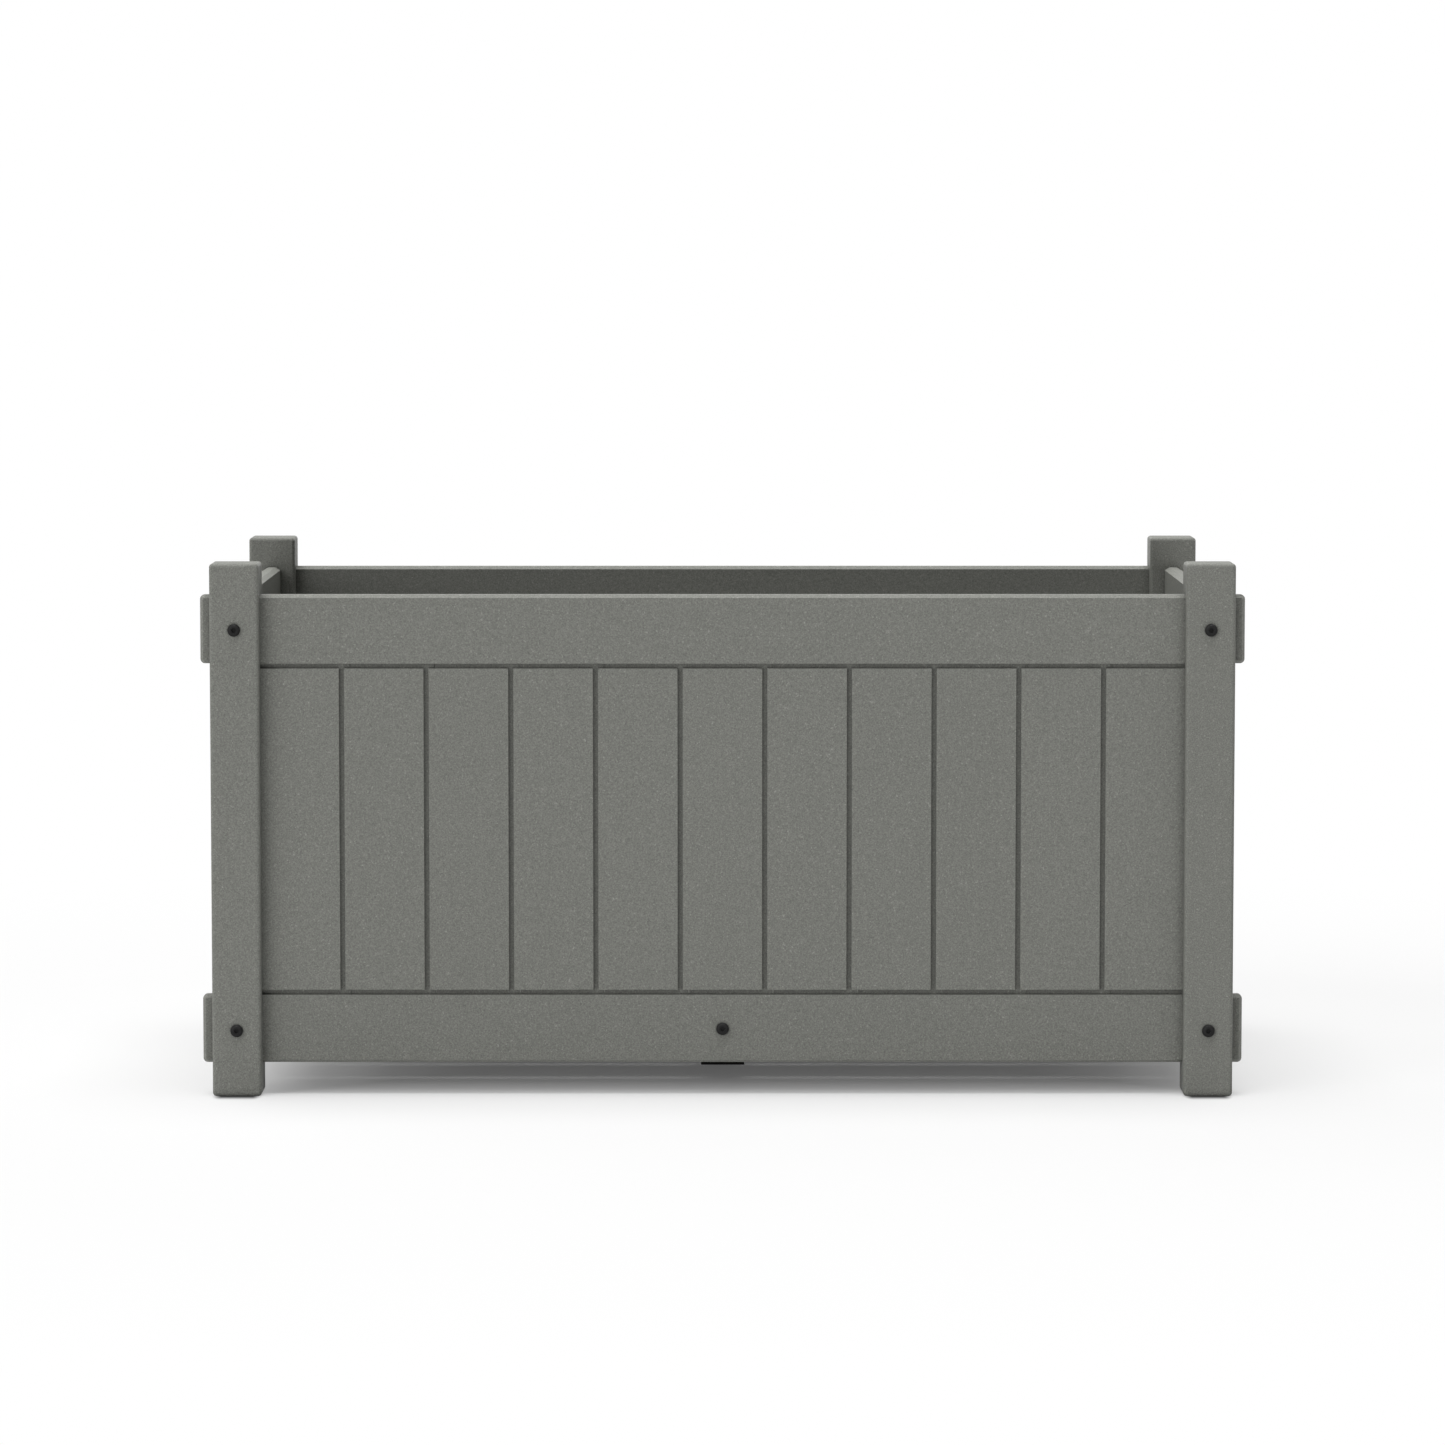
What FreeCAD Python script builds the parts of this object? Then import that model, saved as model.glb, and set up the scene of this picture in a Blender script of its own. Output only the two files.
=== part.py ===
import FreeCAD, Part
import os
import re
import Sketcher
from FreeCAD import Placement, Rotation, Vector

# Double planter box: four posts, railed walls of upright slats, a slatted floor on a strap.
# Frame: X along the length, front towards -Y, Z up, origin on the ground under the middle.

doc = FreeCAD.newDocument("DoublePlanterBox")
sheet = doc.addObject("Spreadsheet::Sheet", "Sizes")

# Driving dimensions in millimetres: name, value, meaning
SIZES = [
    ("long_rail_length", 914.4, "overall length, over the tenon ends"),
    ("tenon_reveal", 9.4, "how far a tenon stands out of its post"),
    ("overall_depth", 468.4, "front face to back face of the posts"),
    ("post_size", 43.0, "square section of a post"),
    ("post_height", 468.4, "height of a post"),
    ("post_round", 3.2, "rounding of every post edge"),
    ("post_rise", 27.9, "post above the top rail, and below the bottom rail"),
    ("rail_height", 60.3, "height of every rail"),
    ("rail_thickness", 15.875, "thickness of every rail"),
    ("rail_bevel_across", 4.6, "bevel of the open rail edges and tenon ends, across the thickness"),
    ("rail_bevel_down", 2.7, "the same bevel, down the faces"),
    ("tenon_corner", 4.0, "corner radius of the tenon ends, seen from the front"),
    ("slat_thickness", 12.7, "thickness of a wall slat"),
    ("joint_gap", 4.3, "width of the sunk joint between slats, and from slat to rail"),
    ("joint_sink", 3.2, "depth of the sunk joint below the outside face"),
    ("tongue_reach", 5.0, "how far a tongue enters its groove"),
    ("groove_spare", 0.5, "free space beyond the tip of a tongue"),
    ("tongue_fit", 0.3, "free play of a tongue across its groove"),
    ("slat_housing", 3.0, "how far the end slats enter the posts"),
    ("slat_edge_bevel", 0.3, "small bevel on the outside edges of a slat"),
    ("mortise_fit", 0.2, "free play of a rail in its mortise"),
    ("stub_length", 6.0, "how far a side rail enters the post"),
    ("stub_spare", 0.3, "free space beyond the end of a side rail"),
    ("bolt_diameter", 6.35, "shank of the bolts"),
    ("bolt_hole_diameter", 6.8, "clearance holes for the bolts"),
    ("bolt_tap_play", 0.2, "play of the bolts in their tapped holes"),
    ("bolt_head_diameter", 11.1, "button head"),
    ("bolt_head_height", 3.4, "button head"),
    ("bolt_head_dome", 2.6, "radius of the dome's shoulder"),
    ("bolt_socket_width", 4.0, "across the flats of the hexagon socket"),
    ("bolt_socket_depth", 2.0, "depth of the hexagon socket"),
    ("bolt_tip_bevel", 0.8, "bevel at the end of a bolt"),
    ("corner_bolt_length", 57.0, "corner bolt, under the head"),
    ("middle_bolt_length", 22.2, "middle bolt, under the head"),
    ("insert_diameter", 9.5, "threaded insert, outside"),
    ("insert_length", 20.0, "threaded insert"),
    ("insert_play", 0.2, "free play of an insert in its bore"),
    ("insert_bore_depth", 24.0, "bore in the end of a side rail"),
    ("cleat_thickness", 19.05, "floor cleat"),
    ("cleat_height", 25.4, "floor cleat"),
    ("cleat_end_gap", 1.0, "gap between a cleat and the posts"),
    ("cleat_round", 1.6, "rounding of the cleats' open edges"),
    ("floor_board_thickness", 19.05, "floor board"),
    ("floor_board_round", 2.0, "rounding of the boards' long top edges"),
    ("floor_end_gap", 2.0, "gap between board ends and side rails, and round the posts"),
    ("drain_gap", 3.2, "gap between floor boards, and to the long rails"),
    ("strap_width", 38.1, "flat bar of the floor strap"),
    ("strap_thickness", 4.76, "flat bar of the floor strap"),
    ("strap_bend", 3.2, "inside radius of its two bends"),
    ("strap_drop", 5.2, "underside of the strap below the rails"),
    ("strap_ear_margin", 12.0, "strap end above the middle of its bolt"),
    ("strap_corner", 6.0, "corner radius of the strap's two ears"),
    ("bearer_end_gap", 4.0, "gap between the bearer and the strap's ears"),
    ("screw_diameter", 4.2, "shank of the wood screws"),
    ("screw_play", 0.3, "free play of the screws in their holes"),
    ("screw_head_diameter", 8.2, "flat head, under a quarter-turn cone"),
    ("screw_tip", 4.0, "length of the point"),
    ("screw_drive_width", 2.8, "square drive recess"),
    ("screw_drive_depth", 1.4, "square drive recess"),
    ("cleat_screw_length", 31.75, "from cleat to side rail"),
    ("floor_screw_length", 38.1, "from board to cleat or bearer"),
    ("pilot_spare", 1.5, "pilot hole beyond the tip of a screw"),
    ("overrun", 5.0, "how far a cutting tool runs past what it cuts"),
]
LONG_SLATS = 11
SHORT_SLATS = 5
FLOOR_BOARDS = 5
CLEAT_SCREWS = 4

for row, (alias, value, meaning) in enumerate(SIZES, start=1):
    sheet.set(f"A{row}", alias)
    sheet.set(f"B{row}", str(value))
    sheet.set(f"C{row}", meaning)
    sheet.setAlias(f"B{row}", alias)

# Sizes worked out from the driving ones; each may use those above it
DERIVED = [
    ("post_span", "long_rail_length - 2 * tenon_reveal"),
    ("post_x", "(post_span - post_size) / 2"),
    ("post_y", "(overall_depth - post_size) / 2"),
    ("recess", "(post_size - rail_thickness) / 2"),
    ("top_rail_z", "post_height - post_rise - rail_height / 2"),
    ("bottom_rail_z", "post_rise + rail_height / 2"),
    ("tongue_thickness", "slat_thickness - 2 * joint_sink"),
    ("tongue_length", "joint_gap + tongue_reach"),
    ("groove_depth", "tongue_reach + groove_spare"),
    ("groove_width", "tongue_thickness + tongue_fit"),
    ("groove_start", "joint_sink - tongue_fit / 2"),
    ("slat_face_height", "post_height - 2 * (post_rise + rail_height + joint_gap)"),
    ("slat_full_height", "slat_face_height + 2 * tongue_length"),
    ("slat_z", "post_height / 2"),
    ("long_clear", "post_span - 2 * post_size"),
    ("short_clear", "overall_depth - 2 * post_size"),
    ("long_pitch", f"(long_clear + 2 * slat_housing) / {LONG_SLATS}"),
    ("short_pitch", f"(short_clear + 2 * slat_housing) / {SHORT_SLATS}"),
    ("housing_depth", "slat_housing + stub_spare"),
    ("short_rail_length", "short_clear + 2 * stub_length"),
    ("inner_length", "post_span - 2 * (recess + rail_thickness)"),
    ("inner_depth", "overall_depth - 2 * (recess + rail_thickness)"),
    ("cleat_length", "short_clear - 2 * cleat_end_gap"),
    ("cleat_screw_pitch", f"cleat_length / {CLEAT_SCREWS}"),
    ("cleat_top_z", "post_rise + cleat_height"),
    ("board_pitch", f"(inner_depth - drain_gap) / {FLOOR_BOARDS}"),
    ("board_width", "board_pitch - drain_gap"),
    ("board_length", "inner_length - 2 * floor_end_gap"),
    ("board_screw_x", "(inner_length - cleat_thickness) / 2"),
    ("strap_under_z", "post_rise - strap_drop"),
    ("strap_top_z", "strap_under_z + strap_thickness"),
    ("strap_ear_z", "bottom_rail_z + strap_ear_margin"),
    ("strap_outer_bend", "strap_bend + strap_thickness"),
    ("bearer_length", "inner_depth - 2 * (strap_thickness + bearer_end_gap)"),
    ("bearer_height", "cleat_top_z - strap_top_z"),
    ("screw_hole_diameter", "screw_diameter + screw_play"),
    ("countersink", "(screw_head_diameter - screw_diameter) / 2"),
    ("tapped_hole_diameter", "bolt_diameter + bolt_tap_play"),
    ("insert_bore_diameter", "insert_diameter + insert_play"),
    ("cleat_pilot_depth", "cleat_screw_length - cleat_thickness + pilot_spare"),
    ("floor_pilot_depth", "floor_screw_length - floor_board_thickness + pilot_spare"),
]
for row, (alias, formula) in enumerate(DERIVED, start=len(SIZES) + 1):
    sheet.set(f"A{row}", alias)
    sheet.set(f"B{row}", f"={formula}")
    sheet.setAlias(f"B{row}", alias)
doc.recompute()

NAMES = {row[0] for row in SIZES + DERIVED}
SAME_PLACE = 0.001
FRONT = Vector(0, -1, 0)
BACK = Vector(0, 1, 0)
LEFT = Vector(-1, 0, 0)
RIGHT = Vector(1, 0, 0)
UP = Vector(0, 0, 1)
parts = []


def size(formula):
    """Value of a formula written in the names of the sheet."""
    return float(sheet.evalExpression(formula))


def bound(formula):
    """The same formula as an expression that other objects can be bound to."""
    return re.sub("[a-z_]+", lambda word: f"Sizes.{word[0]}" if word[0] in NAMES else word[0], formula)


def bind(target, path, formula):
    target.setExpression(path, bound(formula))


def new_body(label):
    body = doc.addObject("PartDesign::Body", "Body_" + label)
    body.Label = label
    return body


def new_sketch(body, name, role, offset="0"):
    """Empty sketch on one of the body's own planes, moved along the plane's normal by offset."""
    sketch = body.newObject("Sketcher::SketchObject", name)
    planes = {feature.Role: feature for feature in body.Origin.OriginFeatures}
    sketch.AttachmentSupport = (planes[role], "")
    sketch.MapMode = "FlatFace"
    if offset != "0":
        bind(sketch, "AttachmentOffset.Base.z", offset)
    return sketch


def pin_point(sketch, geometry, end, across, up):
    """Fix one point of a sketch by two formulas."""
    for kind, formula, axis in (("DistanceX", across, -2), ("DistanceY", up, -1)):
        if formula == "0":
            sketch.addConstraint(Sketcher.Constraint("PointOnObject", geometry, end, axis))
        else:
            row = sketch.addConstraint(Sketcher.Constraint(kind, -1, 1, geometry, end, size(formula)))
            bind(sketch, f"Constraints[{row}]", formula)


def draw_polygon(sketch, points):
    """Closed outline of straight lines; each point is a pair of formulas."""
    first = sketch.GeometryCount
    corners = [Vector(size(across), size(up), 0) for across, up in points]
    count = len(corners)
    for index in range(count):
        sketch.addGeometry(Part.LineSegment(corners[index], corners[(index + 1) % count]))
    for index in range(count):
        after = first + (index + 1) % count
        sketch.addConstraint(Sketcher.Constraint("Coincident", first + index, 2, after, 1))
    for index, (across, up) in enumerate(points):
        pin_point(sketch, first + index, 1, across, up)


def draw_rectangle(sketch, low, high, bottom, top):
    draw_polygon(sketch, [(low, bottom), (high, bottom), (high, top), (low, top)])


def draw_bar_face(sketch, length, height):
    """Rectangle about the sketch's own middle."""
    draw_rectangle(sketch, f"-{length} / 2", f"{length} / 2", f"-{height} / 2", f"{height} / 2")


def draw_circle(sketch, across, up, diameter):
    centre = Vector(size(across), size(up), 0)
    circle = sketch.addGeometry(Part.Circle(centre, Vector(0, 0, 1), size(diameter) / 2))
    row = sketch.addConstraint(Sketcher.Constraint("Diameter", circle, size(diameter)))
    bind(sketch, f"Constraints[{row}]", diameter)
    pin_point(sketch, circle, 3, across, up)


def extrude(body, kind, name, sketch, length, side="One side", reverse=False):
    feature = body.newObject(f"PartDesign::{kind}", name)
    feature.Profile = sketch
    feature.SideType = side
    feature.Reversed = reverse
    bind(feature, "Length", length)
    body.Tip = feature
    doc.recompute()
    return feature


def pad(body, name, sketch, length, **options):
    return extrude(body, "Pad", name, sketch, length, **options)


def pocket(body, name, sketch, length, **options):
    """Cut, and make sure that it takes material away."""
    before = body.Shape.Volume
    feature = extrude(body, "Pocket", name, sketch, length, **options)
    if not body.Shape.Volume < before:
        raise RuntimeError(f"{body.Label}: {name} cuts nothing")
    return feature


def dress_edges(body, kind, name, choose, formula):
    """Fillet or chamfer the edges of the body's tip that choose picks by their points."""
    base = body.Tip
    picked = [f"Edge{index}" for index, edge in enumerate(base.Shape.Edges, start=1) if choose(edge)]
    if not picked:
        raise RuntimeError(f"{body.Label}: {name} finds no edge")
    feature = body.newObject(f"PartDesign::{kind}", name)
    feature.Base = (base, picked)
    bind(feature, "Radius" if kind == "Fillet" else "Size", formula)
    body.Tip = feature
    doc.recompute()
    return feature


def bevel_edges(body, name, choose):
    """Bevel edges of a rail: wide across its thickness, narrow down its faces."""
    feature = dress_edges(body, "Chamfer", name, choose, "rail_bevel_across")
    feature.ChamferType = "Two distances"
    bind(feature, "Size2", "rail_bevel_down")
    doc.recompute()


def edges_at(axis, formula, alike=lambda edge: True):
    """Chooser of the edges that lie wholly in the plane axis = formula, and are alike."""
    level = size(formula)

    def chosen(edge):
        box = edge.BoundBox
        low, high = {"x": (box.XMin, box.XMax), "y": (box.YMin, box.YMax), "z": (box.ZMin, box.ZMax)}[axis]
        return max(abs(low - level), abs(high - level)) < SAME_PLACE and alike(edge)

    return chosen


def all_edges(edge):
    return True


def runs_along_x(edge):
    return max(edge.BoundBox.YLength, edge.BoundBox.ZLength) < SAME_PLACE


def runs_along_y(edge):
    return max(edge.BoundBox.XLength, edge.BoundBox.ZLength) < SAME_PLACE


def is_circle(edge):
    return isinstance(edge.Curve, Part.Circle)


def place(body, x="0", y="0", z="0", turn=0):
    """Seat a body in the planter's frame, turned about the upright axis, and keep it for export."""
    body.Placement = Placement(Vector(), Rotation(UP, turn))
    for letter, formula in (("x", x), ("y", y), ("z", z)):
        if formula != "0":
            bind(body, f"Placement.Base.{letter}", formula)
    parts.append(body)


def place_in_wall(body, wall, along, inward, z):
    """Seat a body that is drawn in a wall's own frame.

    There x runs along the wall, and y runs inward from the outside face of its rails.
    """
    if wall == "front":
        place(body, x=along, y=f"recess + {inward} - overall_depth / 2", z=z)
    elif wall == "back":
        place(body, x=f"-({along})", y=f"overall_depth / 2 - recess - ({inward})", z=z, turn=180)
    elif wall == "left":
        place(body, x=f"recess + {inward} - post_span / 2", y=f"-({along})", z=z, turn=-90)
    else:
        place(body, x=f"post_span / 2 - recess - ({inward})", y=along, z=z, turn=90)


# Corner posts, drawn about their own axis with the inner faces at +Y and at hand * X

def make_post(label, hand, x, y, turn):
    body = new_body(label)
    outline = new_sketch(body, "Section", "XY_Plane")
    draw_bar_face(outline, "post_size", "post_size")
    pad(body, "Bar", outline, "post_height")
    dress_edges(body, "Fillet", "RoundedEdges", all_edges, "post_round")
    cut_rail_mortises(body)
    cut_slat_housings(body, hand)
    holes = new_sketch(body, "BoltCentres", "XZ_Plane")
    for level in ("top_rail_z", "bottom_rail_z"):
        draw_circle(holes, "0", level, "bolt_hole_diameter")
    pocket(body, "BoltHoles", holes, "post_size + 2 * overrun", side="Symmetric")
    place(body, x=x, y=y, turn=turn)


def cut_rail_mortises(body):
    """Through mortises for the long rails, and stub mortises for the side rails."""
    through = new_sketch(body, "LongRailSections", "YZ_Plane")
    stub = new_sketch(body, "SideRailSections", "XZ_Plane", "-post_size / 2")
    for level, open_side in (("top_rail_z", 1), ("bottom_rail_z", -1)):
        draw_rail_section(through, level, bevelled=(-1, 1))
        draw_rail_section(stub, level, bevelled=(open_side,))
    pocket(body, "ThroughMortises", through, "post_size + 2 * overrun", side="Symmetric")
    pocket(body, "StubMortises", stub, "stub_length + stub_spare", reverse=True)


def draw_rail_section(sketch, level, bevelled):
    """Section of a rail and its play in the mortise; bevelled lists the sides, 1 up and -1 down."""
    wide = "(rail_thickness + mortise_fit) / 2"
    high = "(rail_height + mortise_fit) / 2"
    points = []
    for side in (-1, 1):
        edge = f"{level} + {side} * {high}"
        if side in bevelled:
            shoulder = f"{edge} - {side} * rail_bevel_down"
            flat = f"({wide} - rail_bevel_across)"
            points += [(f"{side} * -{wide}", shoulder), (f"{side} * -{flat}", edge)]
            points += [(f"{side} * {flat}", edge), (f"{side} * {wide}", shoulder)]
        else:
            points += [(f"{side} * -{wide}", edge), (f"{side} * {wide}", edge)]
    draw_polygon(sketch, points)


def cut_slat_housings(body, hand):
    """Shallow grooves that take the end slats of both walls, from mortise to mortise."""
    outside = "post_size / 2 - recess + tongue_fit / 2"
    inside = "post_size / 2 - recess - slat_thickness - tongue_fit / 2"
    low = "bottom_rail_z + rail_height / 2 - rail_bevel_down"
    high = "top_rail_z - rail_height / 2 + rail_bevel_down"
    long_wall = new_sketch(body, "LongWallGroove", "YZ_Plane", f"{hand} * post_size / 2")
    draw_rectangle(long_wall, f"-({outside})", f"-({inside})", low, high)
    pocket(body, "LongWallHousing", long_wall, "housing_depth", reverse=hand < 0)
    side_wall = new_sketch(body, "SideWallGroove", "XZ_Plane", "-post_size / 2")
    draw_rectangle(side_wall, f"{-hand} * ({outside})", f"{-hand} * ({inside})", low, high)
    pocket(body, "SideWallHousing", side_wall, "housing_depth", reverse=True)


# Rails, drawn in the wall's frame about their own middle; open_side is 1 where the open edge is up

def cut_tongue_groove(body, clear, open_side):
    """Groove for the slats' tongues, stopped just past the end slats."""
    groove = new_sketch(body, "SlatGroove", "XZ_Plane", "-groove_start")
    reach = f"{clear} / 2 + housing_depth"
    bottom = f"{-open_side} * (rail_height / 2 - groove_depth)"
    mouth = f"{-open_side} * (rail_height / 2 + overrun)"
    draw_rectangle(groove, f"-({reach})", reach, bottom, mouth)
    pocket(body, "Groove", groove, "groove_width")


def make_long_rail(label, wall, level, open_side, bolts):
    """Rail whose bevelled ends pass right through the posts."""
    body = new_body(label)
    outline = new_sketch(body, "Outline", "XZ_Plane")
    draw_bar_face(outline, "long_rail_length", "rail_height")
    pad(body, "Bar", outline, "rail_thickness", reverse=True)
    dress_edges(body, "Fillet", "TenonCorners", runs_along_y, "tenon_corner")
    bevel_edges(body, "OutsideBevel", edges_at("y", "0"))
    bevel_edges(body, "InsideBevel", edges_at("y", "rail_thickness"))
    square = new_sketch(body, "SquareEdge", "XZ_Plane")
    reach = "(long_clear - mortise_fit) / 2"
    draw_rectangle(square, f"-({reach})", reach, "0", f"{-open_side} * rail_height / 2")
    pad(body, "SquareSlatEdge", square, "rail_thickness", reverse=True)
    cut_tongue_groove(body, "long_clear", open_side)
    holes = new_sketch(body, "BoltCentres", "XZ_Plane")
    for across in bolts:
        draw_circle(holes, across, "0", "bolt_hole_diameter")
    pocket(body, "BoltHoles", holes, "rail_thickness + overrun")
    place_in_wall(body, wall, "0", "0", level)


def make_side_rail(label, wall, level, open_side, carries_cleat):
    """Rail whose plain ends are housed in the posts and bored for the threaded inserts."""
    body = new_body(label)
    outline = new_sketch(body, "Outline", "XZ_Plane")
    draw_bar_face(outline, "short_rail_length", "rail_height")
    pad(body, "Bar", outline, "rail_thickness", reverse=True)
    bevel_edges(body, "BevelledEdges", edges_at("z", f"{open_side} * rail_height / 2", runs_along_x))
    cut_tongue_groove(body, "short_clear", open_side)
    for name, end in (("FirstBore", -1), ("LastBore", 1)):
        bore = new_sketch(body, name + "Section", "YZ_Plane", f"{end} * short_rail_length / 2")
        draw_circle(bore, "rail_thickness / 2", "0", "insert_bore_diameter")
        pocket(body, name, bore, "insert_bore_depth", reverse=end < 0)
    if carries_cleat:
        pilots = new_sketch(body, "CleatScrewCentres", "XZ_Plane", "-rail_thickness")
        for across in cleat_screw_places():
            draw_circle(pilots, across, "(cleat_height - rail_height) / 2", "screw_hole_diameter")
        pocket(body, "CleatPilotHoles", pilots, "cleat_pilot_depth", reverse=True)
    place_in_wall(body, wall, "0", "0", level)


# Wall slats, drawn with the outside face at y = 0 and the left edge at x = 0

def make_slat(label, wall, pitch, index, count):
    """Upright board with a tongue on its right edge, a groove in its left, and tongued ends."""
    body = new_body(label)
    first, last = index == 0, index == count - 1
    left = "0" if first else "joint_gap / 2"
    right = pitch if last else f"{pitch} - joint_gap / 2"
    profile = new_sketch(body, "Profile", "XY_Plane")
    draw_polygon(profile, slat_profile(left, right, grooved=not first, tongued=not last))
    pad(body, "Board", profile, "slat_full_height", side="Symmetric")
    far = f"{pitch} + tongue_length + overrun"
    for name, inside in (("OutsideShoulders", False), ("InsideShoulders", True)):
        ends = new_sketch(body, name + "Outline", "XZ_Plane", "-slat_thickness" if inside else "0")
        for side in (-1, 1):
            shoulder = f"{side} * slat_face_height / 2"
            beyond = f"{side} * (slat_full_height / 2 + overrun)"
            draw_rectangle(ends, "-overrun", far, shoulder, beyond)
        pocket(body, name, ends, "joint_sink", reverse=inside)
    dress_edges(body, "Chamfer", "FaceBevel", edges_at("y", "0"), "slat_edge_bevel")
    place_in_wall(body, wall, f"{pitch} * {index - count / 2}", "0", "slat_z")


def slat_profile(left, right, grooved, tongued):
    """Cross-section of a slat, anticlockwise from the outside left corner."""
    points = [(left, "0"), (right, "0")]
    if tongued:
        tip = f"{right} + tongue_length"
        points += [(right, "joint_sink"), (tip, "joint_sink")]
        points += [(tip, "joint_sink + tongue_thickness"), (right, "joint_sink + tongue_thickness")]
    points += [(right, "slat_thickness"), (left, "slat_thickness")]
    if grooved:
        bottom = f"{left} + groove_depth"
        points += [(left, "groove_start + groove_width"), (bottom, "groove_start + groove_width")]
        points += [(bottom, "groove_start"), (left, "groove_start")]
    return points


# Floor: cleats on the bottom side rails, a bearer in the strap, and boards over all three

def cleat_screw_places():
    return [f"{index - (CLEAT_SCREWS - 1) / 2} * cleat_screw_pitch" for index in range(CLEAT_SCREWS)]


def board_places():
    return [f"{index - (FLOOR_BOARDS - 1) / 2} * board_pitch" for index in range(FLOOR_BOARDS)]


def make_cleat(label, wall):
    body = new_body(label)
    outline = new_sketch(body, "Outline", "XZ_Plane")
    draw_rectangle(outline, "-cleat_length / 2", "cleat_length / 2", "0", "cleat_height")
    pad(body, "Bar", outline, "cleat_thickness", reverse=True)
    front = "cleat_thickness"
    dress_edges(body, "Fillet", "RoundedEdges", edges_at("y", front, runs_along_x), "cleat_round")
    holes = new_sketch(body, "ScrewCentres", "XZ_Plane")
    for across in cleat_screw_places():
        draw_circle(holes, across, "cleat_height / 2", "screw_hole_diameter")
    pocket(body, "ScrewHoles", holes, "cleat_thickness + overrun")
    dress_edges(body, "Chamfer", "Countersinks", edges_at("y", front, is_circle), "countersink")
    pilots = new_sketch(body, "FloorScrewCentres", "XY_Plane", "cleat_height")
    for across in board_places():
        draw_circle(pilots, across, "cleat_thickness / 2", "screw_hole_diameter")
    pocket(body, "FloorPilotHoles", pilots, "floor_pilot_depth")
    place_in_wall(body, wall, "0", "rail_thickness", "post_rise")


def make_strap(label):
    """Flat bar from front to back under the floor, its ends turned up behind the long rails."""
    body = new_body(label)
    side_view = new_sketch(body, "SideView", "YZ_Plane")
    ear = "inner_depth / 2"
    ear_inside = "inner_depth / 2 - strap_thickness"
    outer = [(f"-{ear}", "strap_ear_z"), (f"-{ear}", "strap_under_z")]
    outer += [(ear, "strap_under_z"), (ear, "strap_ear_z")]
    inner = [(ear_inside, "strap_ear_z"), (ear_inside, "strap_top_z")]
    inner += [(f"-({ear_inside})", "strap_top_z"), (f"-({ear_inside})", "strap_ear_z")]
    draw_polygon(side_view, outer + inner)
    pad(body, "Bar", side_view, "strap_width", side="Symmetric")
    bends = edges_at("z", "strap_under_z", runs_along_x)
    dress_edges(body, "Fillet", "OuterBends", bends, "strap_outer_bend")
    dress_edges(body, "Fillet", "InnerBends", edges_at("z", "strap_top_z", runs_along_x), "strap_bend")
    dress_edges(body, "Fillet", "EarCorners", edges_at("z", "strap_ear_z", runs_along_y), "strap_corner")
    holes = new_sketch(body, "BoltCentre", "XZ_Plane")
    draw_circle(holes, "0", "bottom_rail_z", "tapped_hole_diameter")
    pocket(body, "TappedHoles", holes, "inner_depth + 2 * overrun", side="Symmetric")
    place(body)


def make_bearer(label):
    body = new_body(label)
    outline = new_sketch(body, "Outline", "XY_Plane")
    draw_bar_face(outline, "strap_width", "bearer_length")
    pad(body, "Bar", outline, "bearer_height")
    pilots = new_sketch(body, "FloorScrewCentres", "XY_Plane", "bearer_height")
    for along in board_places():
        draw_circle(pilots, "0", along, "screw_hole_diameter")
    pocket(body, "FloorPilotHoles", pilots, "floor_pilot_depth")
    place(body, z="strap_top_z")


def make_floor_board(label, index):
    """Board along the whole floor; the two outer ones are notched round the posts and the strap."""
    body = new_body(label)
    middle = board_places()[index]
    outline = new_sketch(body, "Outline", "XY_Plane")
    draw_bar_face(outline, "board_length", "board_width")
    pad(body, "Board", outline, "floor_board_thickness")
    top = "floor_board_thickness"
    dress_edges(body, "Fillet", "RoundedEdges", edges_at("z", top, runs_along_x), "floor_board_round")
    if index in (0, FLOOR_BOARDS - 1):
        notch_outer_board(body, middle, outer=-1 if index == 0 else 1)
    holes = new_sketch(body, "ScrewCentres", "XY_Plane", "floor_board_thickness")
    for across in ("-board_screw_x", "0", "board_screw_x"):
        draw_circle(holes, across, "0", "screw_hole_diameter")
    pocket(body, "ScrewHoles", holes, "floor_board_thickness + overrun")
    dress_edges(body, "Chamfer", "Countersinks", edges_at("z", top, is_circle), "countersink")
    place(body, y=middle, z="cleat_top_z")


def notch_outer_board(body, middle, outer):
    """Cut the corners of an outer floor board that the posts stand in, and the strap's place."""
    notches = new_sketch(body, "PostCorners", "XY_Plane")
    side = f"{outer} * (short_clear / 2 - floor_end_gap) - ({middle})"
    beyond = f"{outer} * (board_width / 2 + overrun)"
    for end in (-1, 1):
        shoulder = f"{end} * (long_clear / 2 - floor_end_gap)"
        tip = f"{end} * (board_length / 2 + overrun)"
        draw_rectangle(notches, shoulder, tip, side, beyond)
    reach = "(strap_width / 2 + floor_end_gap)"
    ear = f"{outer} * bearer_length / 2 - ({middle})"
    draw_rectangle(notches, f"-{reach}", reach, ear, beyond)
    pocket(body, "Notches", notches, "floor_board_thickness + overrun", reverse=True)


# Fasteners: one pattern piece of each kind along the upright axis, then a group of its copies

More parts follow.
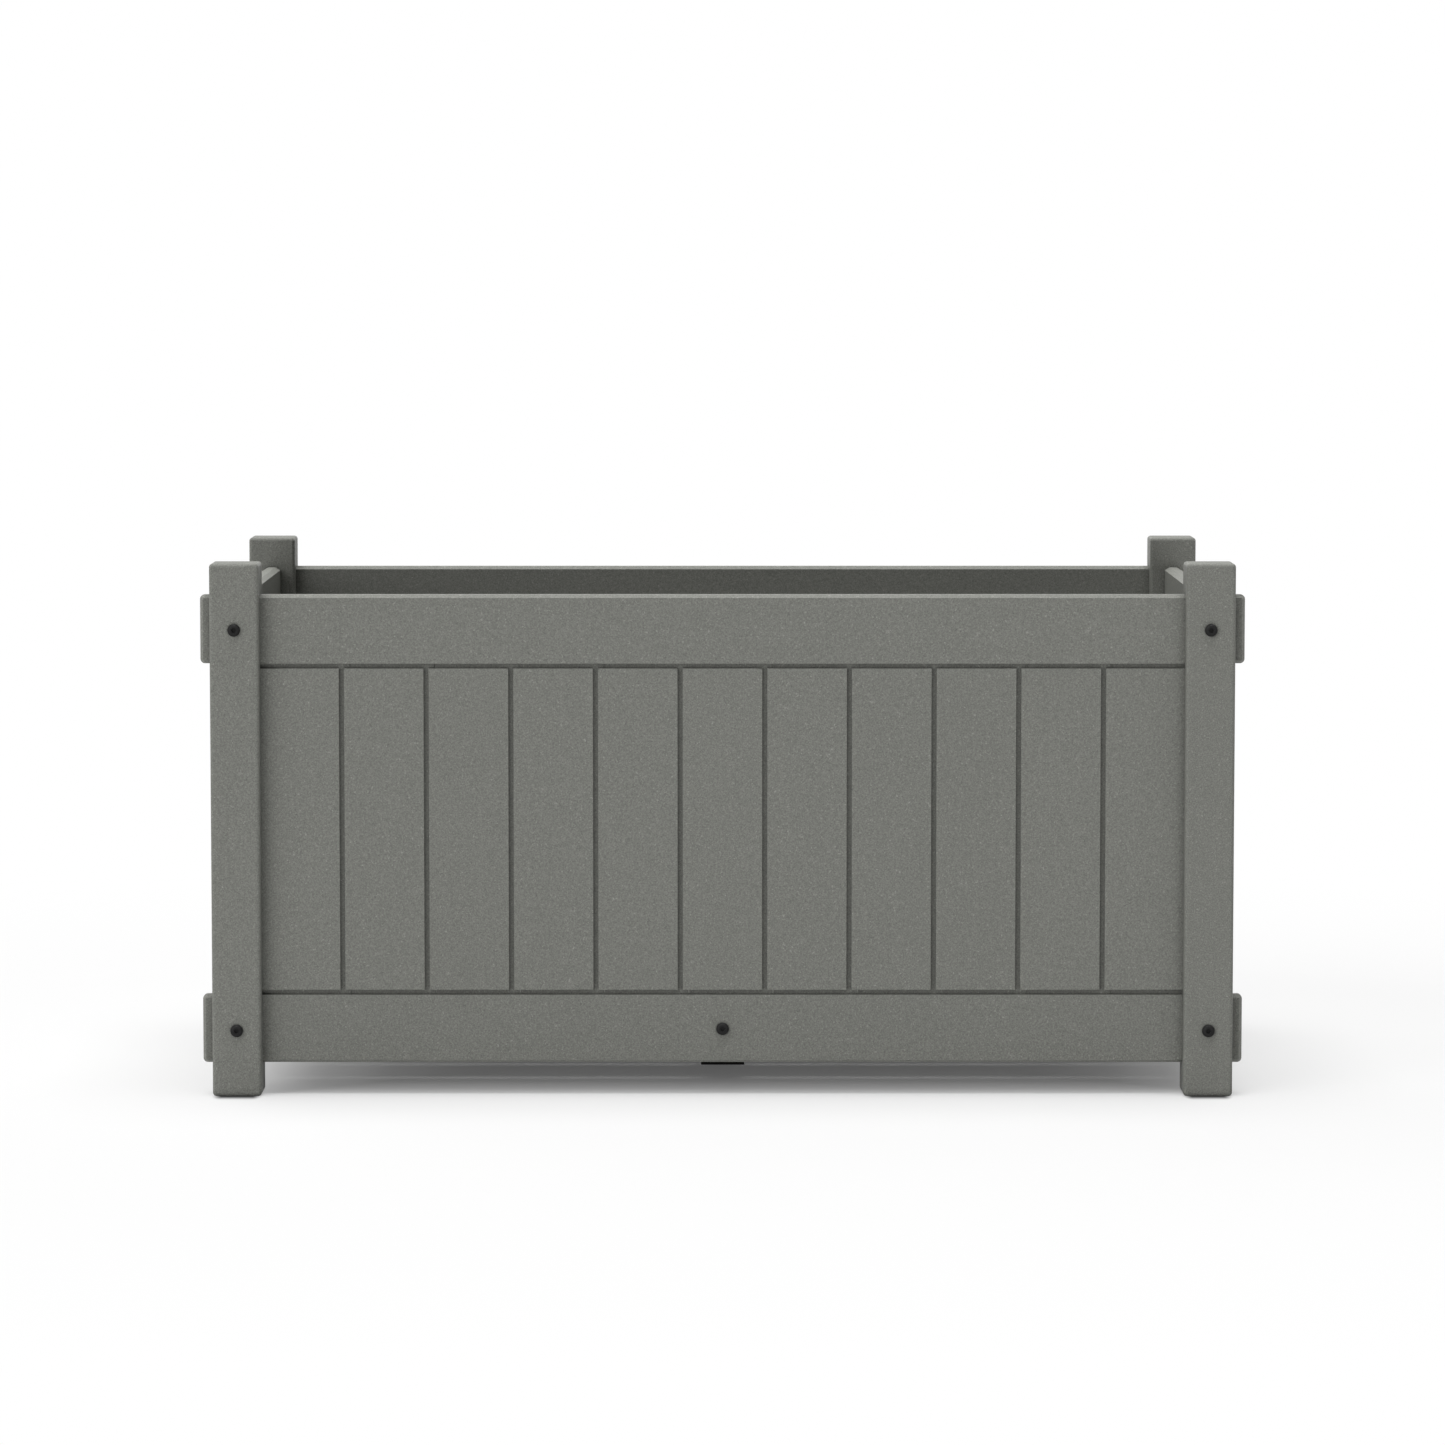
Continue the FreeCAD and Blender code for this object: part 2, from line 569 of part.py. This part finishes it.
def make_bolt(label, length):
    """Button-head bolt: the head's underside is at z = 0 and the shank points down."""
    body = new_body(label)
    head = new_sketch(body, "HeadOutline", "XY_Plane")
    draw_circle(head, "0", "0", "bolt_head_diameter")
    pad(body, "Head", head, "bolt_head_height")
    dress_edges(body, "Fillet", "Dome", edges_at("z", "bolt_head_height"), "bolt_head_dome")
    shank = new_sketch(body, "ShankOutline", "XY_Plane")
    draw_circle(shank, "0", "0", "bolt_diameter")
    pad(body, "Shank", shank, length, reverse=True)
    dress_edges(body, "Chamfer", "Tip", edges_at("z", f"-{length}"), "bolt_tip_bevel")
    socket = new_sketch(body, "SocketOutline", "XY_Plane", "bolt_head_height")
    corner = "bolt_socket_width / sqrt(3)"
    flat = "bolt_socket_width / 2"
    draw_polygon(socket, [
        (corner, "0"), (f"{corner} / 2", flat), (f"-{corner} / 2", flat),
        (f"-{corner}", "0"), (f"-{corner} / 2", f"-{flat}"), (f"{corner} / 2", f"-{flat}"),
    ])
    pocket(body, "HexagonSocket", socket, "bolt_socket_depth")
    return body


def make_insert(label):
    """Threaded insert: a sleeve that starts at z = 0 and points up."""
    body = new_body(label)
    ring = new_sketch(body, "Ring", "XY_Plane")
    draw_circle(ring, "0", "0", "insert_diameter")
    draw_circle(ring, "0", "0", "tapped_hole_diameter")
    pad(body, "Sleeve", ring, "insert_length")
    return body


def make_screw(label, length):
    """Flat-head wood screw: the top of its head is at z = 0 and it points down."""
    body = new_body(label)
    half = new_sketch(body, "HalfSection", "XZ_Plane")
    draw_polygon(half, [
        ("0", "0"), ("screw_head_diameter / 2", "0"), ("screw_diameter / 2", "-countersink"),
        ("screw_diameter / 2", f"screw_tip - {length}"), ("0", f"-{length}"),
    ])
    turned = body.newObject("PartDesign::Revolution", "Turned")
    turned.Profile = half
    turned.ReferenceAxis = (half, ["V_Axis"])
    body.Tip = turned
    doc.recompute()
    drive = new_sketch(body, "DriveOutline", "XY_Plane")
    draw_bar_face(drive, "screw_drive_width", "screw_drive_width")
    pocket(body, "SquareDrive", drive, "screw_drive_depth")
    return body


def group_of(label, pattern, seats):
    """One object that holds a separate solid at every seat; a seat is (x, y, z, direction of local +Z)."""
    copies = []
    for x, y, z, direction in seats:
        copy = pattern.Shape.copy()
        copy.Placement = Placement(Vector(size(x), size(y), size(z)), Rotation(UP, direction))
        copies.append(copy)
    group = doc.addObject("Part::Feature", "Group_" + label)
    group.Label = label
    group.Shape = Part.makeCompound(copies)
    parts.append(group)


def seat_corner_fasteners():
    """Bolts through the posts and tenons, and the inserts that they enter in the side rails."""
    bolts, inserts = [], []
    for x in ("-post_x", "post_x"):
        for z in ("bottom_rail_z", "top_rail_z"):
            bolts += [(x, "-overall_depth / 2", z, FRONT), (x, "overall_depth / 2", z, BACK)]
            inserts += [(x, "-short_rail_length / 2", z, BACK), (x, "short_rail_length / 2", z, FRONT)]
    group_of("corner_bolts", make_bolt("corner_bolt_pattern", "corner_bolt_length"), bolts)
    group_of("threaded_inserts", make_insert("insert_pattern"), inserts)


def seat_middle_bolts():
    face = "overall_depth / 2 - recess"
    seats = [("0", f"-({face})", "bottom_rail_z", FRONT), ("0", face, "bottom_rail_z", BACK)]
    group_of("middle_bolts", make_bolt("middle_bolt_pattern", "middle_bolt_length"), seats)


def seat_floor_screws():
    cleat_face = "inner_length / 2 - cleat_thickness"
    cleat_level = "post_rise + cleat_height / 2"
    seats = [(f"-({cleat_face})", along, cleat_level, RIGHT) for along in cleat_screw_places()]
    seats += [(cleat_face, along, cleat_level, LEFT) for along in cleat_screw_places()]
    group_of("cleat_screws", make_screw("cleat_screw_pattern", "cleat_screw_length"), seats)
    board_level = "cleat_top_z + floor_board_thickness"
    seats = [(across, along, board_level, UP)
             for across in ("-board_screw_x", "0", "board_screw_x") for along in board_places()]
    group_of("floor_screws", make_screw("floor_screw_pattern", "floor_screw_length"), seats)


def build_planter():
    make_post("post_front_left", 1, "-post_x", "-post_y", 0)
    make_post("post_front_right", -1, "post_x", "-post_y", 0)
    make_post("post_back_right", 1, "post_x", "post_y", 180)
    make_post("post_back_left", -1, "-post_x", "post_y", 180)
    for wall in ("front", "back"):
        make_long_rail(f"rail_{wall}_top", wall, "top_rail_z", 1, ["-post_x", "post_x"])
        make_long_rail(f"rail_{wall}_bottom", wall, "bottom_rail_z", -1, ["-post_x", "0", "post_x"])
        for index in range(LONG_SLATS):
            make_slat(f"slat_{wall}_{index + 1:02d}", wall, "long_pitch", index, LONG_SLATS)
    for wall in ("left", "right"):
        make_side_rail(f"rail_{wall}_top", wall, "top_rail_z", 1, carries_cleat=False)
        make_side_rail(f"rail_{wall}_bottom", wall, "bottom_rail_z", -1, carries_cleat=True)
        for index in range(SHORT_SLATS):
            make_slat(f"slat_{wall}_{index + 1}", wall, "short_pitch", index, SHORT_SLATS)
        make_cleat(f"floor_cleat_{wall}", wall)
    make_strap("floor_strap")
    make_bearer("floor_bearer")
    for index in range(FLOOR_BOARDS):
        make_floor_board(f"floor_board_{index + 1}", index)
    seat_corner_fasteners()
    seat_middle_bolts()
    seat_floor_screws()


def check_and_write():
    doc.recompute()
    for item in doc.Objects:
        if {"Invalid", "Error"} & set(item.State):
            raise RuntimeError(f"{item.Label} failed: {item.State}")
    for part in parts:
        if part.Shape.isNull() or not part.Shape.isValid() or not part.Shape.Solids:
            raise RuntimeError(f"{part.Label} has no valid solid")
    os.makedirs("parts", exist_ok=True)
    for part in parts:
        part.Shape.exportStep(f"parts/{part.Label}.step")
    print(len(parts), "nodes,", sum(len(part.Shape.Solids) for part in parts), "solids")


build_planter()
check_and_write()
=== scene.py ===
import math

import bpy
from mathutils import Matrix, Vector


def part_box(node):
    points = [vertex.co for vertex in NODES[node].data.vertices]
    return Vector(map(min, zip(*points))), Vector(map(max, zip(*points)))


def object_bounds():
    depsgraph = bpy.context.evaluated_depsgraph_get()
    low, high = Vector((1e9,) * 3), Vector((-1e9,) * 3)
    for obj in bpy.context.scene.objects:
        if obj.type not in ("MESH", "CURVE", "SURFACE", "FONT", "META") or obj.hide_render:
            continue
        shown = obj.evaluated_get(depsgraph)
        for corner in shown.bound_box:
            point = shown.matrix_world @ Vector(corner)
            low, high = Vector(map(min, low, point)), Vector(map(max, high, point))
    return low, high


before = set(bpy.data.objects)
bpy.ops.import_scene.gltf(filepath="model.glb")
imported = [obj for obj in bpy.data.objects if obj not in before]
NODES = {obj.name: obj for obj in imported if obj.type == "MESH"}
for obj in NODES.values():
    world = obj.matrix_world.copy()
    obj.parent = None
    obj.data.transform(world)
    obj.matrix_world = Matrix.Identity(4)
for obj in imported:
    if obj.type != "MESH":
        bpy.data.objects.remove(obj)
cad_low, cad_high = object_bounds()

# Camera at the photograph's angle: a long lens straight in front, looking a little down
CAMERA_BACK = 5.1872
CAMERA_HEIGHT = 0.7562
CAMERA_PITCH = math.radians(4.922)
CAMERA_LENS = 141.8
CAMERA_SENSOR = 36.0
CAMERA_CLIP = (0.05, 100.0)

# Soft lamps: name, strength, degrees round from the front towards the right, degrees up
LAMPS = (
    ("key", 1.06, -45.0, 25.0),
    ("overhead", 3.63, 0.0, 90.0),
    ("back", 0.55, -135.0, 45.0),
)
LAMP_SPREAD = math.radians(45.0)

# Floor: how white it is for the light that it throws on the box, and where it is seen
WHITE = (1.0, 1.0, 1.0, 1.0)
FLOOR_SIZE = 60.0
FLOOR_BOUNCE = 0.80
FLOOR_BRIGHTNESS = 0.97
FLOOR_LIGHT = sum(strength * math.sin(math.radians(up)) for _, strength, _, up in LAMPS) / math.pi
FLOOR_SEEN = FLOOR_BRIGHTNESS / FLOOR_LIGHT
# Metres outside the box's outline, and the share of plain white in the floor that is seen there;
# the rest of it takes the lamps' light and the box's shadow
# The plain white is painted light: it lifts the box's shadow on the floor, least under the box
FLOOR_WHITE = (
    (-0.20, 0.09),
    (-0.12, 0.11),
    (-0.08, 0.16),
    (-0.04, 0.26),
    (0.0, 0.47),
    (0.03, 0.55),
    (0.40, 0.55),
    (1.2, 1.0),
)
# A metre in from either end of the box counts as less, and at the key lamp's end the count
# starts further in
# So the painted light under the box reaches further in at the key lamp's end
END_METRE = 0.7
END_SHIFT = 0.025
# Shade at the feet: its reach before and behind them, and its darkest factor. Beside them it
# starts inside their outline and fades this many times faster
FOOT_REACH = 0.022
FOOT_DARKEST = 0.06
FOOT_SIDE_INSET = 0.008
FOOT_SIDE_FADE = 2.4

# Noise patterns: seed, repeats per metre, detail
SPECKLE = (0.0, 1000.0, 1.0)
GRIT = (7.0, 620.0, 0.0)
LINES = (13.0, 260.0, 2.0)
CLOUD = (21.0, 9.0, 3.0)
SKIN = (3.0, 1400.0, 2.0)
SMUDGE = (11.0, 120.0, 3.0)
SCRATCH = (5.0, 2600.0, 3.0)
STAIN = (17.0, 260.0, 2.0)

# Spans of values: a wide and a narrow one of noise, and the whole one of a mask
WIDE = (0.2, 0.8)
NARROW = (0.3, 0.7)
WHOLE = (0.0, 1.0)
# Cosine between the plain normal and the rounded one, on a face and on an edge
EDGE_COSINES = (0.995, 0.90)
EDGE_SAMPLES = 6
OPEN_SAMPLES = 8

# Lumber: each tone is a range of factors on the colour, each bump a strength and metres
LUMBER_COLOUR = (0.206, 0.2095, 0.191)
LUMBER_ROUGHNESS = (0.40, 0.50)
LUMBER_IOR = 1.15
BOARD_SEEDS = 40.0
LINE_STRETCH = 0.012
SPECKLE_TONE = (0.67, 1.33)
GRIT_SPAN, GRIT_TONE = (0.68, 0.80), (1.0, 1.35)
FAINT_TONE = (0.985, 1.015)
END_SPAN, END_TONE, END_ROUGHNESS = (0.96, 0.99), (1.0, 0.96), 0.10
EDGE_RADIUS, EDGE_TONE = 0.0012, (1.0, 1.08)
EDGE_PATCHES = (0.35, 0.6, 0.3, 1.0)
OPEN_EDGES = (0.90, 0.98)
# Painted shade: how far the lumber looks for nearby surfaces, and the span and tone that darken
# joints, grooves and corners beside the posts; the same reach keeps paler edges out of joints
JOINT_REACH, JOINT_SHADE_SPAN, JOINT_SHADE_TONE = 0.009, (0.35, 0.95), (0.72, 1.0)
SPECKLE_BUMP = (0.25, 0.0003)
LINES_BUMP = (0.15, 0.0004)

# Black coated steel: colour, roughness and IOR of the bolts and of the strap
BOLTS = ((0.014, 0.014, 0.014), 0.50, 1.25)
STRAP = ((0.003, 0.003, 0.0027), 0.60, 1.10)
COAT_ROUGHNESS_PLAY = 0.08
SKIN_TONE = (0.7, 1.3)
WORN_RADIUS, WORN_PATCHES, WORN_TONE = 0.0005, (0.4, 0.6), (1.0, 1.3)
SKIN_BUMP = (0.4, 0.00015)

# Stainless steel of the screws and inserts
STEEL_COLOUR = (0.40, 0.396, 0.386)
STEEL_ROUGHNESS = (0.46, 0.60)
SCRATCH_TONE = (0.90, 1.08)
STAIN_TONE = (0.92, 1.04)
# Painted shade in the screws' recesses: how far it looks, the span of openness read, and the
# darkening tone
RECESS_REACH, RECESS_SHADE_SPAN, RECESS_SHADE_TONE = 0.002, (0.40, 0.95), (0.30, 1.0)
SCRATCH_BUMP = (0.3, 0.0001)


def wire(tree, node, inputs):
    """Set a node's inputs to numbers and colours, or join them to sockets."""
    for name, value in inputs.items():
        if isinstance(value, bpy.types.NodeSocket):
            tree.links.new(value, node.inputs[name])
        else:
            node.inputs[name].default_value = value


def add(tree, kind, inputs=None, **settings):
    """A new node with its settings made and its inputs wired."""
    node = tree.nodes.new(kind)
    for name, value in settings.items():
        setattr(node, name, value)
    wire(tree, node, inputs or {})
    return node


def material(name):
    """A new node material: itself, its tree and its surface shader."""
    made = bpy.data.materials.new(name)
    made.use_nodes = True
    return made, made.node_tree, made.node_tree.nodes["Principled BSDF"]


def maths(tree, operation, *values):
    """Result of one calculation with numbers or sockets."""
    return add(tree, "ShaderNodeMath", dict(enumerate(values)), operation=operation).outputs[0]


def vector_maths(tree, operation, inputs, output="Vector"):
    """Result of one calculation with vectors."""
    return add(tree, "ShaderNodeVectorMath", inputs, operation=operation).outputs[output]


def between(tree, value, low, high, to_low=0.0, to_high=1.0):
    """Value rescaled from low..high to to_low..to_high, and kept inside."""
    spans = {"Value": value, "From Min": low, "From Max": high, "To Min": to_low, "To Max": to_high}
    return add(tree, "ShaderNodeMapRange", spans).outputs["Result"]


def noise(tree, place, pattern, board_seed=None):
    """A noise pattern, and a different one on each board where the board has a seed."""
    seed, scale, detail = pattern
    if board_seed is not None:
        seed = maths(tree, "ADD", board_seed, seed)
    inputs = {"Vector": place, "W": seed, "Scale": scale, "Detail": detail}
    return add(tree, "ShaderNodeTexNoise", inputs, noise_dimensions="4D").outputs["Fac"]


def tinted(tree, colour, factor):
    """A colour made darker or lighter by a factor."""
    return vector_maths(tree, "SCALE", {0: colour, "Scale": factor})


def mottled(tree, colour, *rows):
    """A colour times several tones; each row is a value, the span to read and its factors."""
    tone = 1.0
    for value, span, factors in rows:
        tone = maths(tree, "MULTIPLY", tone, between(tree, value, *span, *factors))
    return tinted(tree, colour, tone)


def bumped(tree, height, bump, under=None):
    """Normal roughened by a height, with the bump's strength and its depth in metres."""
    inputs = {"Height": height, "Strength": bump[0], "Distance": bump[1]}
    if under is not None:
        inputs["Normal"] = under
    return add(tree, "ShaderNodeBump", inputs).outputs["Normal"]


def openness(tree, reach):
    """1 on open faces, and less in joints, corners and recesses narrower than the reach."""
    inputs = {"Distance": reach}
    return add(tree, "ShaderNodeAmbientOcclusion", inputs, samples=OPEN_SAMPLES).outputs["AO"]


def edge_mask(tree, radius):
    """1 on the edges of a piece and 0 on its faces."""
    rounded = add(tree, "ShaderNodeBevel", {"Radius": radius}, samples=EDGE_SAMPLES)
    plain = add(tree, "ShaderNodeNewGeometry")
    normals = {0: rounded.outputs["Normal"], 1: plain.outputs["Normal"]}
    return between(tree, vector_maths(tree, "DOT_PRODUCT", normals, "Value"), *EDGE_COSINES)


def lumber(name, axis):
    """Grey poly lumber: fine speckle, faint lines along its axis, paler edges, sawn ends, and
    painted shade in joints and corners.
    """
    made, tree, shader = material(name)
    place = add(tree, "ShaderNodeTexCoord").outputs["Object"]
    board = add(tree, "ShaderNodeObjectInfo").outputs["Random"]
    seed = maths(tree, "MULTIPLY", board, BOARD_SEEDS)
    stretch = tuple(LINE_STRETCH if index == axis else 1.0 for index in range(3))
    drawn = vector_maths(tree, "MULTIPLY", {0: place, 1: stretch})
    speckle = noise(tree, place, SPECKLE, seed)
    grit = noise(tree, place, GRIT, seed)
    lines = noise(tree, drawn, LINES, seed)
    cloud = noise(tree, place, CLOUD, seed)

    facing = add(tree, "ShaderNodeNewGeometry").outputs["Normal"]
    along = add(tree, "ShaderNodeSeparateXYZ", {0: facing}).outputs[axis]
    end = between(tree, maths(tree, "ABSOLUTE", along), *END_SPAN)
    opened = openness(tree, JOINT_REACH)
    patches = between(tree, cloud, *EDGE_PATCHES)
    edge = maths(tree, "MULTIPLY", edge_mask(tree, EDGE_RADIUS), patches)
    edge = maths(tree, "MULTIPLY", edge, between(tree, opened, *OPEN_EDGES))
    planed = between(tree, grit, *NARROW, *LUMBER_ROUGHNESS)
    sawn = maths(tree, "MULTIPLY", end, END_ROUGHNESS)
    fine = bumped(tree, speckle, SPECKLE_BUMP)
    wire(tree, shader, {
        "Base Color": mottled(
            tree, LUMBER_COLOUR,
            (speckle, WIDE, SPECKLE_TONE),
            (grit, GRIT_SPAN, GRIT_TONE),
            (lines, WIDE, FAINT_TONE),
            (cloud, WIDE, FAINT_TONE),
            (board, WHOLE, FAINT_TONE),
            (edge, WHOLE, EDGE_TONE),
            (end, WHOLE, END_TONE),
            # painted shade, darker in joints, grooves and corners beside the posts
            (opened, JOINT_SHADE_SPAN, JOINT_SHADE_TONE),
        ),
        "Roughness": maths(tree, "ADD", planed, sawn),
        "IOR": LUMBER_IOR,
        "Normal": bumped(tree, lines, LINES_BUMP, fine),
    })
    return made


def powder_coat(name, colour, roughness, ior):
    """Black coated steel: a fine orange-peel skin, a little paler where edges are rubbed."""
    made, tree, shader = material(name)
    place = add(tree, "ShaderNodeTexCoord").outputs["Object"]
    skin = noise(tree, place, SKIN)
    smudge = noise(tree, place, SMUDGE)
    patches = between(tree, smudge, *WORN_PATCHES)
    worn = maths(tree, "MULTIPLY", edge_mask(tree, WORN_RADIUS), patches)
    roughnesses = (roughness - COAT_ROUGHNESS_PLAY, roughness + COAT_ROUGHNESS_PLAY)
    wire(tree, shader, {
        "Base Color": mottled(tree, colour, (skin, WIDE, SKIN_TONE), (worn, WHOLE, WORN_TONE)),
        "Roughness": between(tree, smudge, *NARROW, *roughnesses),
        "IOR": ior,
        "Normal": bumped(tree, skin, SKIN_BUMP),
    })
    return made


def stainless(name):
    """Bright screws and inserts: satin steel with fine scratches, stains and painted shade in
    recesses.
    """
    made, tree, shader = material(name)
    place = add(tree, "ShaderNodeTexCoord").outputs["Object"]
    scratch = noise(tree, place, SCRATCH)
    stain = noise(tree, place, STAIN)
    wire(tree, shader, {
        "Base Color": mottled(
            tree, STEEL_COLOUR,
            (scratch, WIDE, SCRATCH_TONE),
            (stain, NARROW, STAIN_TONE),
            # painted shade in the drive recesses
            (openness(tree, RECESS_REACH), RECESS_SHADE_SPAN, RECESS_SHADE_TONE),
        ),
        "Roughness": between(tree, scratch, *NARROW, *STEEL_ROUGHNESS),
        "Metallic": 1.0,
        "Normal": bumped(tree, scratch, SCRATCH_BUMP),
    })
    return made


def dress(surface, *names):
    """Give a surface to CAD nodes, named whole or by how their names start."""
    for node, thing in NODES.items():
        if node.startswith(names):
            for slot in thing.material_slots:
                slot.material = surface


def dress_all():
    """A surface for every CAD node; lumber has one for each axis that its boards lie along."""
    dress(lumber("grey_lumber_upright", 2), "post_", "slat_")
    dress(lumber("grey_lumber_long", 0), "rail_front", "rail_back", "floor_board")
    dress(lumber("grey_lumber_short", 1), "rail_left", "rail_right", "floor_cleat", "floor_bearer")
    dress(powder_coat("black_bolts", *BOLTS), "corner_bolts", "middle_bolts")
    dress(powder_coat("black_strap", *STRAP), "floor_strap")
    dress(stainless("bright_steel"), "cleat_screws", "floor_screws", "threaded_inserts")


def make_camera():
    """The camera in front of the box, turned down by its pitch."""
    data = bpy.data.cameras.new("camera")
    data.lens = CAMERA_LENS
    data.sensor_width = CAMERA_SENSOR
    data.clip_start, data.clip_end = CAMERA_CLIP
    camera = bpy.data.objects.new("camera", data)
    camera.location = (0.0, -CAMERA_BACK, CAMERA_HEIGHT)
    camera.rotation_euler = (math.pi / 2 - CAMERA_PITCH, 0.0, 0.0)
    bpy.context.scene.collection.objects.link(camera)
    bpy.context.scene.camera = camera


def make_lamps():
    """Wide soft lamps: from the front left, from straight above, and a weak one from behind."""
    for name, strength, round_degrees, up_degrees in LAMPS:
        data = bpy.data.lights.new(name, "SUN")
        data.energy = strength
        data.angle = LAMP_SPREAD
        lamp = bpy.data.objects.new(name, data)
        turn, rise = math.radians(round_degrees), math.radians(up_degrees)
        level = math.cos(rise)
        towards = Vector((math.sin(turn) * level, -math.cos(turn) * level, math.sin(rise)))
        lamp.rotation_euler = towards.to_track_quat("Z", "Y").to_euler()
        bpy.context.scene.collection.objects.link(lamp)


def seen_directly(tree):
    """1 for what is seen, straight or in gloss and glass, and 0 for light that bounces."""
    path = add(tree, "ShaderNodeLightPath")
    seen = maths(tree, "MAXIMUM", path.outputs["Is Camera Ray"], path.outputs["Is Glossy Ray"])
    return maths(tree, "MAXIMUM", seen, path.outputs["Is Transmission Ray"])


def beyond(tree, value, middle, half):
    """How far a value is from a middle, past half a width: negative inside it."""
    offset = maths(tree, "ABSOLUTE", maths(tree, "SUBTRACT", value, middle))
    return maths(tree, "SUBTRACT", offset, half)


def outside_distance(tree, place):
    """Metres from the box's outline on the floor, negative under the box."""
    split = add(tree, "ShaderNodeSeparateXYZ", {0: place})
    x, y = split.outputs[0], split.outputs[1]
    half_length, half_depth = cad_high[0], cad_high[1]
    ends = maths(tree, "MULTIPLY", beyond(tree, x, END_SHIFT, half_length), END_METRE)
    across = maths(tree, "MAXIMUM", beyond(tree, x, 0.0, half_length), ends)
    along = beyond(tree, y, 0.0, half_depth)
    past = [maths(tree, "POWER", maths(tree, "MAXIMUM", way, 0.0), 2.0) for way in (across, along)]
    outside = maths(tree, "SQRT", maths(tree, "ADD", *past))
    inside = maths(tree, "MINIMUM", maths(tree, "MAXIMUM", across, along), 0.0)
    return maths(tree, "ADD", outside, inside)


def foot_shade(tree, place):
    """Factor that darkens the floor at the four feet, mostly before and behind them."""
    low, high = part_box("post_back_right")
    split = add(tree, "ShaderNodeSeparateXYZ", {0: place})
    away = {}
    for axis, inset, fade in ((0, FOOT_SIDE_INSET, FOOT_SIDE_FADE), (1, 0.0, 1.0)):
        middle, half = (low[axis] + high[axis]) / 2, (high[axis] - low[axis]) / 2
        mirrored = maths(tree, "ABSOLUTE", split.outputs[axis])
        past = maths(tree, "MAXIMUM", beyond(tree, mirrored, middle, half - inset), 0.0)
        away[axis] = maths(tree, "MULTIPLY", past, fade)
    away = add(tree, "ShaderNodeCombineXYZ", away).outputs[0]
    metres = vector_maths(tree, "LENGTH", {0: away}, "Value")
    spans = {"Value": metres, "From Max": FOOT_REACH, "To Min": FOOT_DARKEST}
    return add(tree, "ShaderNodeMapRange", spans, interpolation_type="SMOOTHSTEP").outputs["Result"]


def white_share(tree, place):
    """The floor's share of plain white, painted light that lifts the box's shadow, on a smooth
    curve through FLOOR_WHITE.
    """
    low, high = FLOOR_WHITE[0][0], FLOOR_WHITE[-1][0]
    distance = between(tree, outside_distance(tree, place), low, high)
    ramp = add(tree, "ShaderNodeValToRGB", {"Fac": distance})
    ramp.color_ramp.interpolation = "CARDINAL"
    stops = ramp.color_ramp.elements
    for metres, _ in FLOOR_WHITE[1:-1]:
        stops.new((metres - low) / (high - low))
    for stop, (_, share) in zip(stops, FLOOR_WHITE):
        stop.color = (share, share, share, 1.0)
    return ramp.outputs["Color"]


def mixed(tree, share, first, second):
    """A shader that is the second by its share, and the first for the rest."""
    return add(tree, "ShaderNodeMixShader", {0: share, 1: first.outputs[0], 2: second.outputs[0]})


def make_floor():
    """A white floor that keeps the box's soft shadow, lifted by painted light near and under the
    box, and turns plain white further off.
    """
    bpy.ops.mesh.primitive_plane_add(size=FLOOR_SIZE, location=(0, 0, 0))
    floor = bpy.context.object
    floor.name = "floor"
    made, tree, _ = material("floor")
    tree.nodes.clear()
    place = add(tree, "ShaderNodeTexCoord").outputs["Object"]
    shade = foot_shade(tree, place)
    glow = add(tree, "ShaderNodeEmission", {"Color": WHITE, "Strength": shade})
    lit = add(tree, "ShaderNodeBsdfDiffuse", {"Color": tinted(tree, (FLOOR_SEEN,) * 3, shade)})
    bounce = add(tree, "ShaderNodeBsdfDiffuse", {"Color": (FLOOR_BOUNCE,) * 3 + (1.0,)})
    seen = mixed(tree, white_share(tree, place), lit, glow)
    whole = mixed(tree, seen_directly(tree), bounce, seen)
    add(tree, "ShaderNodeOutputMaterial", {"Surface": whole.outputs[0]})
    floor.data.materials.append(made)


def make_sky():
    """A world that is white where it is seen, and gives no light."""
    world = bpy.data.worlds.new("studio")
    world.use_nodes = True
    tree = world.node_tree
    wire(tree, tree.nodes["Background"], {"Color": WHITE, "Strength": seen_directly(tree)})
    bpy.context.scene.world = world


dress_all()
make_camera()
make_lamps()
make_floor()
make_sky()
bpy.context.scene.view_settings.view_transform = "Standard"
